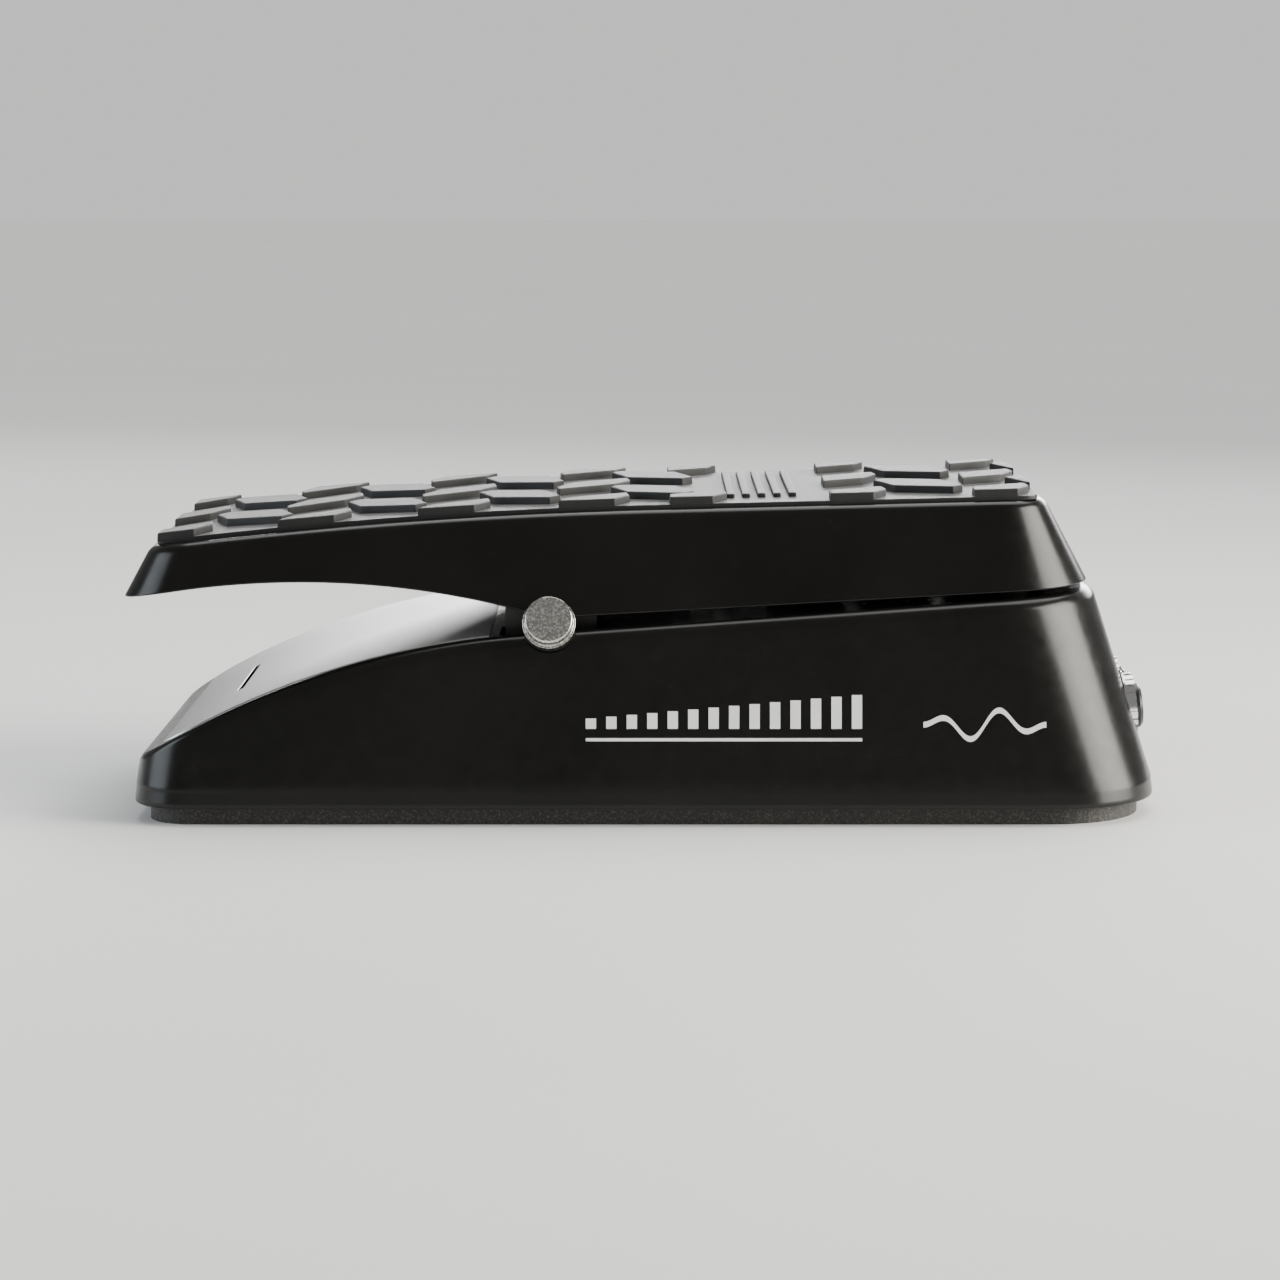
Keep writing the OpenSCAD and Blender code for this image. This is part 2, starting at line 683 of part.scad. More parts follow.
band_ends = [sector_low_a + clamp_in, sector_top_a - clamp_in];
// Frame on the sector's rim at angle a, with +Z outward.
module band_end_frame(a) {
    p = ring_point(sector_r, a);
    translate([p[0], 0, p[1]]) rotate([0, 90 - a, 0]) children();
}
module band_clamps() {
    color([0.7, 0.7, 0.72]) for (e = band_ends) band_end_frame(e) difference() {
        translate([-1.3, -band_hy, band_t + 0.06]) cube([2.6, 2 * band_hy, clamp_t]);
        cylinder(r = clamp_screw_r, h = 4);
    }
}
module band_clamp_screws() {
    color([0.6, 0.6, 0.62]) for (e = band_ends) band_end_frame(e) {
        translate([0, 0, band_t + 0.06 + clamp_t]) cylinder(r = 1.2, h = 0.45);
        translate([0, 0, -4.5]) cylinder(r = clamp_screw_r, h = 4.6 + band_t + clamp_t);
    }
}
module at_drum() { translate([drum_x, 0, drum_z]) children(); }
module drive_drum() {
    color([0.72, 0.56, 0.3]) at_drum() difference() {
        along_y(drum_r, drum_y0, drum_y1);
        along_y(shaft_r, -10, 10);
        translate([0, drum_screw_y, 0]) cylinder(r = 0.8, h = 10);
    }
}
module drum_band() {
    color([0.8, 0.8, 0.8]) at_drum() difference() {
        along_y(drum_r + band_t, -band_hy, band_hy);
        along_y(drum_r, -10, 10);
    }
}
module drum_set_screw() {
    color([0.2, 0.2, 0.21]) at_drum() translate([0, drum_screw_y, shaft_r]) cylinder(r = 0.8, h = 1.3);
}
module pot_shaft() { color([0.75, 0.75, 0.76]) at_drum() along_y(shaft_r, drum_y0, pot_y - 0.2); }

bracket_flange_top = 35.9;
bracket_screw_x = [23, 36];
bracket_screw_y = bracket_y + 9;
bracket_x0 = 19;
bracket_len = 21;
bracket_low = 15;
bracket_flange_w = 14;
module pot_bracket() {
    color([0.66, 0.66, 0.64]) difference() {
        union() {
            translate([bracket_x0, bracket_y, bracket_low])
                cube([bracket_len, bracket_t, bracket_flange_top - bracket_low]);
            translate([bracket_x0, bracket_y, bracket_flange_top - bracket_t])
                cube([bracket_len, bracket_flange_w, bracket_t]);
        }
        at_drum() along_y(4.5, 0, 20);
        for (x = bracket_screw_x) translate([x, bracket_screw_y, 30]) cylinder(r = m3_r + 0.1, h = 10);
    }
}
module bracket_screws() {
    color([0.6, 0.6, 0.62]) for (x = bracket_screw_x)
        translate([x, bracket_screw_y, bracket_flange_top - bracket_t]) {
            difference() {
                translate([0, 0, -0.9]) cylinder(r = 2.4, h = 0.9);
                translate([-1.6, -0.3, -1]) cube([3.2, 0.6, 0.5]);
            }
            cylinder(r = m3_r, h = bracket_t + 3.5);
        }
}
module pot_body() {
    color([0.55, 0.56, 0.56]) at_drum() difference() {
        union() {
            along_y(pot_r, pot_y, pot_y + pot_depth);
            along_y(4.5, bracket_y - 5.4, pot_y);
        }
        along_y(shaft_r + 0.05, 0, pot_y + 2);
    }
}
module pot_terminals() {
    color([0.8, 0.7, 0.4]) difference() {
        for (i = [-1:1]) translate([drum_x + i * 4 - 0.8, pot_y + 3, drum_z - pot_r - 5]) cube([1.6, 0.8, 7]);
        at_drum() along_y(pot_r, 0, pot_y + pot_depth);
    }
}
module pot_washer() {
    color([0.75, 0.75, 0.75]) at_drum() difference() {
        along_y(6, bracket_y - 0.5, bracket_y);
        along_y(4.5, 0, 20);
    }
}
module pot_nut() {
    color([0.8, 0.78, 0.7]) at_drum() difference() {
        translate([0, bracket_y - 0.5, 0]) rotate([90, 0, 0]) cylinder(r = 6.2, h = 1.9, $fn = 6);
        along_y(4.5, 0, 20);
    }
}

// ---- jacks --------------------------------------------------------------------------------------

jack_places = [-jack_pitch, 0, jack_pitch];
// Frame on the toe wall's face at y, with +X along the jack's axis.
module jack_frame(y) {
    translate([base_x1(jack_z), y, jack_z]) rotate([0, -jack_tilt, 0]) children();
}
// Slots that the contacts pass through, from x = a to x = b, with play round them.
module contact_slots(a, b, play) {
    for (s = [-1, 1]) translate([a, s * contact_y - 0.2 - play, -2 - play])
        cube([b - a, 0.4 + 2 * play, 4 + 2 * play]);
}
module jack_body(y) {
    jack_frame(y) difference() {
        union() {
            translate([jack_rear, -jack_body_hw, -jack_body_hh])
                cube([jack_depth - jack_wall_gap, 2 * jack_body_hw, 2 * jack_body_hh]);
            along_x(jack_nose_r, jack_rear + 1, jack_proud - 0.6);
            translate([jack_proud - 0.6, 0, 0]) rotate([0, 90, 0])
                cylinder(r1 = jack_nose_r, r2 = jack_nose_r - 0.6, h = 0.6);
        }
        along_x(plug_r, jack_rear + jack_back_t, 10);
        contact_slots(jack_rear - 1, jack_rear + 14, 0.1);
    }
}
module input_jack() { color([0.05, 0.05, 0.055]) jack_body(jack_places[0]); }
module aux_jack() { color([0.05, 0.05, 0.055]) jack_body(jack_places[1]); }
module output_jack() { color([0.05, 0.05, 0.055]) jack_body(jack_places[2]); }
module jack_washers() {
    color([0.75, 0.75, 0.75]) for (y = jack_places) jack_frame(y) difference() {
        along_x(jack_nut_r + 0.4, jack_seat, jack_seat + jack_washer_t);
        along_x(jack_nose_r, -10, 10);
    }
}
module jack_nuts() {
    nut_x = jack_seat + jack_washer_t;
    color([0.8, 0.8, 0.8]) for (y = jack_places) jack_frame(y) difference() {
        along_x(jack_nut_r, nut_x, nut_x + jack_nut_t);
        along_x(jack_nose_r, -10, 10);
        for (i = [0:jack_notches - 1]) rotate([i * 360 / jack_notches, 0, 0])
            translate([-1, -0.3, jack_nut_r - 0.35]) cube([6, 0.6, 1]);
    }
}
module jack_contacts() {
    color([0.85, 0.8, 0.6]) for (y = jack_places) jack_frame(y)
        contact_slots(board_face - board_t - 0.6, jack_rear + 13.5, 0);
}
module jack_board() {
    color([0.05, 0.22, 0.1]) difference() {
        jack_frame(0) translate([board_face - board_t, -jack_pitch - 9, -6])
            cube([board_t, 2 * jack_pitch + 18, 15]);
        for (y = jack_places) jack_frame(y) contact_slots(board_face - 5, board_face + 5, 0.1);
    }
}

// ---- wires --------------------------------------------------------------------------------------

wire_r = 0.7;
wire_sides = 8;
wire_rings = 22;
// Point just behind the board, up above the jacks' axes.
function board_back(y, up) = let (x = board_face - board_t - 0.05)
    [base_x1(jack_z) + x * cos(jack_tilt) - up * sin(jack_tilt), y,
     jack_z + x * sin(jack_tilt) + up * cos(jack_tilt)];
// Middle line of wire i, from a potentiometer lug down and across to the board's back.
function wire_line(i, t) = let (
    a = [drum_x + i * 4, pot_y + 3.4, drum_z - pot_r - 5.6],
    b = a + [0, i * 4, -4.5],
    d = board_back(12 + i * 4, -3.5),
    c = d - 10 * [cos(jack_tilt), 0, sin(jack_tilt)])
    pow(1 - t, 3) * a + 3 * pow(1 - t, 2) * t * b + 3 * (1 - t) * t * t * c + t * t * t * d;
function unit(v) = v / norm(v);
function wire_ring(i, k) = let (
    t = k / wire_rings,
    d = unit(wire_line(i, min(t + 0.01, 1)) - wire_line(i, max(t - 0.01, 0))),
    u = unit(cross(d, [0, 1, 0])),
    v = cross(d, u))
    [for (j = [0:wire_sides - 1]) let (q = j * 360 / wire_sides)
        wire_line(i, t) + wire_r * (cos(q) * u + sin(q) * v)];
module wire(i) {
    n = wire_sides;
    polyhedron(
        points = [for (k = [0:wire_rings], p = wire_ring(i, k)) p],
        faces = concat(
            [[for (j = [0:n - 1]) j]],
            [for (k = [0:wire_rings - 1], j = [0:n - 1])
                [k * n + j, (k + 1) * n + j, (k + 1) * n + (j + 1) % n, k * n + (j + 1) % n]],
            [[for (j = [n - 1:-1:0]) wire_rings * n + j]]));
}
module hookup_wires() { color([0.6, 0.1, 0.1]) for (i = [-1:1]) wire(i); }

// ---- assembly -----------------------------------------------------------------------------------

base_housing();
heel_plate();
heel_plate_nuts();
bottom_plate();
rubber_sole();
bottom_plate_screws();
right_pivot_block();
left_pivot_block();
right_pivot_bush();
left_pivot_bush();
pivot_block_screws();
tension_screw();
brake_plug();
toe_bumpers();
pot_bracket();
bracket_screws();
pot_body();
pot_terminals();
pot_washer();
pot_nut();
jack_board();
input_jack();
aux_jack();
output_jack();
jack_washers();
jack_nuts();
jack_contacts();
hookup_wires();
treadle_casting();
tread_pad();
pivot_pins();
right_pivot_cap();
left_pivot_cap();
pin_set_screws();
thrust_washers();
heel_bumpers();
drive_sector();
sector_screws();
drive_band();
band_clamps();
band_clamp_screws();
drive_drum();
pot_shaft();
drum_band();
drum_set_screw();
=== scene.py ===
"""Looks of the volume pedal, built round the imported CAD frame. Metres, +X toe end, +Z up."""
import json
import math

import bmesh
import bpy
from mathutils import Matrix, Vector


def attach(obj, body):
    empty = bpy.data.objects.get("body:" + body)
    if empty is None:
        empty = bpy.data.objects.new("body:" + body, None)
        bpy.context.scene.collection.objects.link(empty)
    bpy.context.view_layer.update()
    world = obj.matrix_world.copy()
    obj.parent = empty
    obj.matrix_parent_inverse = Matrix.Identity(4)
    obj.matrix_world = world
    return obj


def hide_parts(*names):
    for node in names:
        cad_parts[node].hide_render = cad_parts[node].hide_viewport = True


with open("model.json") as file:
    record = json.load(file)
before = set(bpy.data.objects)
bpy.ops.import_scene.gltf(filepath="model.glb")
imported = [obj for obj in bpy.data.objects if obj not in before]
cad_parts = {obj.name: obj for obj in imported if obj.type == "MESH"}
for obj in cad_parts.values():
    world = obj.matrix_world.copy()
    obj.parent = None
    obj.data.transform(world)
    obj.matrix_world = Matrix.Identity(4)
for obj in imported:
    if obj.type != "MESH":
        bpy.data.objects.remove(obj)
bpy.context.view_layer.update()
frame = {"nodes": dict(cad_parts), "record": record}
MM = 0.001
WELD = 5e-6

# ---- driving dimensions, in millimetres, as the CAD has them -------------------------------------

BASE_LEN, BASE_W, BASE_Z, LIP_H, LIP_STEP = 203.2, 101.6, 3.4, 3.4, 0.2
LIP_Z = BASE_Z + LIP_H
WALL = 3.2
BASE_SIDE, BASE_TOE, BASE_HEEL = (math.tan(math.radians(a)) for a in (8, 17.5, 8))
HEEL_R, TOE_R = 12.0, 22.0
TOP_SLOPE, TOP_R = math.radians(4), 167.0
TOP_X, TOP_Z = -24.0, 37.26
ARC_X = TOP_X + TOP_R * math.sin(TOP_SLOPE)
ARC_Z = TOP_Z - TOP_R * math.cos(TOP_SLOPE)
PLATE_T, PLATE_PROUD, PLATE_EDGE = 1.0, 0.2, 3.1
PLATE_ENDS = (math.radians(6.4), math.radians(29.8))
SLOT_UNDER = 2.0

TREADLE_HW, TREADLE_REF_Z, TREADLE_DROP = 37.0, 63.0, 9.3
TREADLE_SIDE, TREADLE_END = (math.tan(math.radians(a)) for a in (17, 28.5))
TREADLE_HEEL_X, TREADLE_TOE_X = -98.4, 79.0
TREAD_SLOPE, TREAD_R, TREAD_Z = math.radians(1.4), 1000.0, 60.9
TREAD_CX = TREAD_R * math.sin(TREAD_SLOPE)
TREAD_CZ = TREAD_Z - TREAD_R * math.cos(TREAD_SLOPE)
SKIRT_R, SKIRT_X, SKIRT_TOP = 175.0, -68.0, 47.1
SKIRT_Z, SKIRT_SLOPE = 40.3, math.tan(math.radians(3.1))
PIVOT_X, PIVOT_Z, PIN_R = -19.2, 39.4, 3.0
EAR_R, EAR_Y0, EAR_Y1 = 4.8, 38.5, 42.7

PAD_SHEET, PAD_H, PAD_HW, PAD_X0, PAD_X1 = 0.8, 2.3, 34.5, -97.4, 77.5
STRAIGHT_X0, STRAIGHT_PITCH = -94.4, 27.8
TURNED_X0, TURNED_PITCH, ROW_PITCH = -79.6, 26.9, 16.0
TURNED_STRETCH, SQUARED_CUT, SQUARED_TOE, SQUARED_EDGE = 1.06, -4.0, (40.2, 68.7), 8.4
RIB_X0, RIB_STEP, RIB_W, RIB_HW = 15.6, 3.1, 1.6, 25.0

JACK_Z, JACK_PITCH, JACK_HOLE_R, JACK_SEAT_R, JACK_SEAT = 19.8, 23.0, 4.75, 7.4, -1.1
JACK_TILT, JACK_PAD_R, JACK_COLLAR_R, JACK_COLLAR_BACK = math.radians(5), 7.6, 9.2, -5.4

CAP_TILT, CAP_Y = math.radians(24), 45.6
CAP_RIM = ((0.0, 5.2), (1.0, 5.2), (1.0, 4.8), (3.1, 4.8), (3.6, 4.5))   # distance out and radius
SLOT_LOW, SLOT_HIGH = (5.5, -7, 33), (29, 7, 47)
SCREW_COLUMNS = ((-86, 38), (0, 41), (80, 40))
BOTTOM_T, COLUMN_R, M3_R = 1.5, 4.0, 1.5
LEDGE_X, LEDGE_Y, LEDGE_Z = (-30, -8), (29, 47), (22, 27)       # shelf that a pivot block is screwed to
BRACKET_X, BRACKET_Y, BRACKET_TOP = (23, 36), 20, 35.9          # pads of the potentiometer's bracket
POCKET = ((-29, 30.5, 27), (-9.4, 43.5, 47))                    # opening round a pivot block
TOE_STOP, HEEL_STOP, SECTOR_FOOT = (72, 26, 47.28), (-88.8, 26, 48), (14, 6.3, 56)
TREADLE_RIBS, TREADLE_RIB_Z = (-70, -45, 42, 60), 50.0


def clamp(v, low, high):
    return max(low, min(high, v))


def smooth_root(v):
    return math.sqrt(max(v, 0.0))


# ---- outlines of the castings --------------------------------------------------------------------

def base_limits(z):
    """Heel end, toe end and half width of the base at height z."""
    if z < LIP_Z:
        draw = clamp((z - LIP_Z + 2.2) * BASE_SIDE, 0, 0.26)
        return -BASE_LEN / 2 + draw, BASE_LEN / 2 - draw, BASE_W / 2 - draw
    up = z - LIP_Z
    return (-BASE_LEN / 2 + LIP_STEP + up * BASE_HEEL, BASE_LEN / 2 - LIP_STEP - up * BASE_TOE,
            BASE_W / 2 - LIP_STEP - up * BASE_SIDE)


def base_top(x, off=0.0):
    if x > TOP_X:
        return TOP_Z + (x - TOP_X) * math.tan(TOP_SLOPE) + off / math.cos(TOP_SLOPE)
    return ARC_Z + smooth_root((TOP_R + off) ** 2 - (x - ARC_X) ** 2)


def treadle_limits(z):
    low = TREADLE_REF_Z - z
    return (TREADLE_HEEL_X - (low - TREADLE_DROP) * TREADLE_END, TREADLE_TOE_X + low * TREADLE_END,
            TREADLE_HW + low * TREADLE_SIDE)


def tread_top(x, off=0.0):
    if x > 0:
        return TREAD_Z + x * math.tan(TREAD_SLOPE) + off / math.cos(TREAD_SLOPE)
    return TREAD_CZ + smooth_root((TREAD_R + off) ** 2 - (x - TREAD_CX) ** 2)


def skirt_low(x):
    if x < PIVOT_X:
        return SKIRT_TOP - SKIRT_R + smooth_root(SKIRT_R ** 2 - (x - SKIRT_X) ** 2)
    return SKIRT_Z + (x - PIVOT_X) * SKIRT_SLOPE


# ---- mesh helpers --------------------------------------------------------------------------------

def make_object(name, verts, faces):
    """A mesh object from points in millimetres, with its faces turned outward."""
    mesh = bpy.data.meshes.new(name)
    mesh.from_pydata([Vector(v) * MM for v in verts], [], faces)
    obj = bpy.data.objects.new(name, mesh)
    bpy.context.scene.collection.objects.link(obj)
    bm = bmesh.new()
    bm.from_mesh(mesh)
    bmesh.ops.remove_doubles(bm, verts=bm.verts, dist=1e-6)
    bmesh.ops.recalc_face_normals(bm, faces=bm.faces)
    bm.to_mesh(mesh)
    bm.free()
    return obj


def apply_modifiers(obj):
    """Turns an object's modifiers into its mesh."""
    depsgraph = bpy.context.evaluated_depsgraph_get()
    mesh = bpy.data.meshes.new_from_object(obj.evaluated_get(depsgraph))
    obj.modifiers.clear()
    obj.data = mesh


def boolean(obj, tool, operation="DIFFERENCE", self_crossing=False):
    mod = obj.modifiers.new("cut", "BOOLEAN")
    mod.operation = operation
    mod.solver = "EXACT"
    mod.use_self = self_crossing
    mod.object = tool
    apply_modifiers(obj)
    bpy.data.objects.remove(tool)


def weld(obj):
    """Closes the hairline seams and slivers that cutting leaves."""
    bm = bmesh.new()
    bm.from_mesh(obj.data)
    bmesh.ops.remove_doubles(bm, verts=bm.verts, dist=WELD)
    bmesh.ops.dissolve_degenerate(bm, dist=WELD, edges=bm.edges)
    open_edges = [edge for edge in bm.edges if len(edge.link_faces) == 1]
    bmesh.ops.holes_fill(bm, edges=open_edges, sides=0)
    loose = [edge for edge in bm.edges if not edge.link_faces]
    bmesh.ops.delete(bm, geom=loose, context="EDGES")
    bmesh.ops.recalc_face_normals(bm, faces=bm.faces)
    bm.to_mesh(obj.data)
    bm.free()


def smooth(obj, angle=32):
    """Smooth shading, sharp only where faces meet at more than the angle."""
    for polygon in obj.data.polygons:
        polygon.use_smooth = True
    obj.data.set_sharp_from_angle(angle=math.radians(angle))
    weighted = obj.modifiers.new("normals", "WEIGHTED_NORMAL")
    weighted.keep_sharp = True
    apply_modifiers(obj)


def round_edges(obj, width, segments=3, angle=40):
    """Rounds an object's sharp edges; width in millimetres."""
    mod = obj.modifiers.new("round", "BEVEL")
    mod.width = width * MM
    mod.segments = segments
    mod.limit_method = "ANGLE"
    mod.angle_limit = math.radians(angle)
    mod.harden_normals = False
    apply_modifiers(obj)


# Faces of a box whose points run through x, then y, then z.
BOX_FACES = [(0, 1, 3, 2), (4, 6, 7, 5), (0, 4, 5, 1), (2, 3, 7, 6), (0, 2, 6, 4), (1, 5, 7, 3)]


def box_tool(low, high):
    verts = [(x, y, z) for x in (low[0], high[0]) for y in (low[1], high[1]) for z in (low[2], high[2])]
    return make_object("tool", verts, BOX_FACES)


def rod_tool(centre, axis, radius, start, end, sides=48):
    """A round bar along an axis, from start to end measured from its centre."""
    axis = Vector(axis).normalized()
    u = axis.orthogonal().normalized()
    v = axis.cross(u)
    verts = []
    for along in (start, end):
        for i in range(sides):
            a = 2 * math.pi * i / sides
            verts.append(Vector(centre) + axis * along + (u * math.cos(a) + v * math.sin(a)) * radius)
    faces = [tuple(range(sides))[::-1], tuple(range(sides, 2 * sides))]
    faces += [(i, (i + 1) % sides, sides + (i + 1) % sides, sides + i) for i in range(sides)]
    return make_object("tool", verts, faces)


# Half of a rounded oblong's outline, from the heel's middle round the near side to the toe's middle.
SIDE_STEPS, CORNER_STEPS, END_STEPS = 90, 18, 6


def half_outline(x0, x1, hw, r0, r1):
    points = []
    for i in range(END_STEPS):
        points.append((x0, -(hw - r0) * i / END_STEPS))
    for i in range(CORNER_STEPS + 1):
        a = math.pi / 2 * i / CORNER_STEPS
        points.append((x0 + r0 - r0 * math.cos(a), -(hw - r0) - r0 * math.sin(a)))
    for i in range(1, SIDE_STEPS):
        points.append((x0 + r0 + (x1 - r1 - x0 - r0) * i / SIDE_STEPS, -hw))
    for i in range(CORNER_STEPS + 1):
        a = math.pi / 2 * i / CORNER_STEPS
        points.append((x1 - r1 + r1 * math.sin(a), -(hw - r1) - r1 * math.cos(a)))
    for i in range(END_STEPS - 1, -1, -1):
        points.append((x1, -(hw - r1) * i / END_STEPS))
    return points


def loft(name, limits, radii, low, top, inset=0.0, fillet=None, edge=0.0, levels=10, extra=()):
    """A closed casting: walls that follow limits(z) between the surfaces low(x) and top(x).

    radii(z) gives the corner radii, fillet(x) rounds the top edge and edge the lower one. extra lists
    heights that every wall gets a ring at.
    """
    def ring_at(z, more=0.0):
        x0, x1, hw = limits(z)
        r0, r1 = radii(z)
        d = inset + more
        return half_outline(x0 + d, x1 - d, hw - d, max(r0 - d, 0.6), max(r1 - d, 0.6))

    count = len(half_outline(-10, 10, 5, 1, 1))

    def settle(surface, i, drop, more):
        """Point i of the outline, where the wall meets surface(x) + drop."""
        z = surface(0) + drop
        for _ in range(12):
            x, y = ring_at(z, more)[i]
            z = surface(x) + drop
        return x, y, z

    rings = []
    arc = 6
    for k in range(arc if edge else 0):
        a = math.pi / 2 * k / arc
        rings.append([settle(low, i, edge * (1 - math.cos(a)), edge * (1 - math.sin(a)))
                      for i in range(count)])
    starts = [settle(low, i, edge, 0.0) for i in range(count)]
    round_by = [fillet(settle(top, i, 0.0, 0.0)[0]) if fillet else 0.0 for i in range(count)]
    ends = [settle(top, i, -round_by[i], 0.0) for i in range(count)]
    if extra:
        rings.append(starts)
    for z in extra:
        starts = [ring_at(z)[i] + (z,) for i in range(count)]
        rings.append(starts)
    for k in range(1 if extra else 0, levels + 1):
        ring = []
        for i in range(count):
            z = starts[i][2] + (ends[i][2] - starts[i][2]) * k / levels
            ring.append(ring_at(z)[i] + (z,))
        rings.append(ring)
    for k in range(1, arc + 1 if fillet else 1):
        a = math.pi / 2 * k / arc
        rings.append([settle(top, i, -round_by[i] * (1 - math.sin(a)), round_by[i] * (1 - math.cos(a)))
                      for i in range(count)])
    verts, faces = [], []
    for ring in rings:
        verts += ring
        verts += [(x, -y, z) for x, y, z in ring]
    near = lambda k, i: 2 * count * k + i
    far = lambda k, i: 2 * count * k + count + i
    for k in range(len(rings) - 1):
        for i in range(count - 1):
            faces.append((near(k, i), near(k, i + 1), near(k + 1, i + 1), near(k + 1, i)))
            faces.append((far(k, i), far(k + 1, i), far(k + 1, i + 1), far(k, i + 1)))
    for k in (0, len(rings) - 1):
        for i in range(count - 1):
            faces.append((near(k, i), near(k, i + 1), far(k, i + 1), far(k, i)))
    obj = make_object(name, verts, faces)
    bm = bmesh.new()
    bm.from_mesh(obj.data)
    bmesh.ops.dissolve_degenerate(bm, dist=1e-6, edges=bm.edges)
    bmesh.ops.recalc_face_normals(bm, faces=bm.faces)
    bm.to_mesh(obj.data)
    bm.free()
    return obj


def both_sides(low, high):
    """The same box on the near side and on the far side."""
    yield low, high
    yield (low[0], -high[1], low[2]), (high[0], -low[1], high[2])


def beside(place, side):
    """A place on the near or far side of the middle plane."""
    return place[0], place[1] * side, place[2]


# ---- castings ------------------------------------------------------------------------------------

def jack_point(along, up=0.0, y=0.0):
    """A point out from the toe wall along the axis of the jack at y, and up from that axis."""
    return (base_limits(JACK_Z)[1] + along * math.cos(JACK_TILT) - up * math.sin(JACK_TILT), y,
            JACK_Z + along * math.sin(JACK_TILT) + up * math.cos(JACK_TILT))


def build_base():
    radii = lambda z: (HEEL_R, TOE_R)
    fillet = lambda x: 1.0 + 1.4 * clamp((x + 92) / 30, 0, 1)
    shell = loft("base_shell", base_limits, radii, lambda x: BASE_Z, base_top, fillet=fillet, edge=0.4,
                 levels=12, extra=(LIP_Z - 2.2, LIP_Z - 0.4, LIP_Z + 0.2))
    hollow = loft("hollow", base_limits, radii, lambda x: BASE_Z - 1, lambda x: base_top(x, -WALL),
                  inset=WALL, levels=6)
    out = (math.cos(JACK_TILT), 0, math.sin(JACK_TILT))
    jacks = [jack_point(0, y=y) for y in (-JACK_PITCH, 0, JACK_PITCH)]
    for place in jacks:
        boolean(hollow, rod_tool(place, out, JACK_COLLAR_R, JACK_COLLAR_BACK, 8))
    for side in (-1, 1):
        for x, y in SCREW_COLUMNS:
            boolean(hollow, rod_tool((x, y * side, BASE_Z + BOTTOM_T), (0, 0, 1), COLUMN_R, 0, 45))
        first, last = sorted(y * side for y in LEDGE_Y)
        boolean(hollow, box_tool((LEDGE_X[0], first, LEDGE_Z[0]), (LEDGE_X[1], last, LEDGE_Z[1])))
    for x in BRACKET_X:
        boolean(hollow, rod_tool((x, BRACKET_Y, BRACKET_TOP), (0, 0, 1), COLUMN_R, 0, 20))
    boolean(shell, hollow)
    for place in jacks:
        boolean(shell, rod_tool(place, out, JACK_PAD_R, -4.1, JACK_SEAT), "UNION")
        boolean(shell, rod_tool(place, out, JACK_HOLE_R, -10, 10))
        boolean(shell, rod_tool(place, out, JACK_SEAT_R, JACK_SEAT, 20, 64))
    # the slot that the drive sector swings through, and a pocket round each pivot block
    boolean(shell, box_tool(SLOT_LOW, SLOT_HIGH))
    for low, high in both_sides(*POCKET):
        boolean(shell, box_tool(low, high))
    for side in (-1, 1):
        centre = (PIVOT_X, 50 * side, PIVOT_Z)
        boolean(shell, rod_tool(centre, (0, side, 0), PIN_R + 0.6, -10, 5))
        boolean(shell, rod_tool(centre, (0, side, 0), CAP_RIM[0][1] + 0.4, CAP_Y - 50.3, 5))
        for x, y in SCREW_COLUMNS:
            boolean(shell, rod_tool((x, y * side, BASE_Z), (0, 0, 1), M3_R, -1, 9, 24))
    # the recess that the heel plate lies in, and a groove under the plate's slot
    boolean(shell, plate_solid("recess", PLATE_EDGE - 0.1, 5.0, PLATE_PROUD - PLATE_T))
    boolean(shell, plate_slot(-WALL + 0.6, 5.0, SLOT_UNDER, 17.9))
    weld(shell)
    smooth(shell, 28)
    return shell


def build_cap(name, side):
    """A pivot cap, turned about its own axis, with its edges eased."""
    out = Vector((0, side * math.cos(CAP_TILT), math.sin(CAP_TILT)))
    across, up = Vector((1, 0, 0)), out.cross(Vector((1, 0, 0)))
    sides, verts, faces = 96, [], []
    for along, radius in CAP_RIM:
        for i in range(sides):
            a = 2 * math.pi * i / sides
            verts.append(Vector((PIVOT_X, CAP_Y * side, PIVOT_Z)) + out * along
                         + (across * math.cos(a) + up * math.sin(a)) * radius)
    for k in range(len(CAP_RIM) - 1):
        p = k * sides
        faces += [(p + i, p + (i + 1) % sides, p + sides + (i + 1) % sides, p + sides + i)
                  for i in range(sides)]
    last = (len(CAP_RIM) - 1) * sides
    faces += [tuple(range(sides)), tuple(range(last, last + sides))]
    cap = make_object(name, verts, faces)
    boolean(cap, rod_tool((PIVOT_X, 0, PIVOT_Z), (0, side, 0), PIN_R, 40, CAP_Y + 1.5))
    round_edges(cap, 0.14, 3, 20)
    smooth(cap, 40)
    return cap


def build_treadle():
    def radii(z):
        t = clamp((z - 38) / 30, 0, 1)
        return 12 - 7.5 * t, 20 - 13 * t

    shell = loft("treadle_shell", treadle_limits, radii, skirt_low, tread_top, fillet=lambda x: 1.5,
                 edge=0.4, levels=12)
    hollow = loft("hollow", treadle_limits, radii, lambda x: skirt_low(x) - 5,
                  lambda x: tread_top(x, -WALL), inset=WALL, levels=8)
    boolean(shell, hollow)
    add_treadle_bosses(shell)
    for side in (-1, 1):
        boolean(shell, rod_tool((PIVOT_X, 43 * side, PIVOT_Z), (0, 1, 0), PIN_R, -6, 6))
    smooth(shell, 30)
    return shell


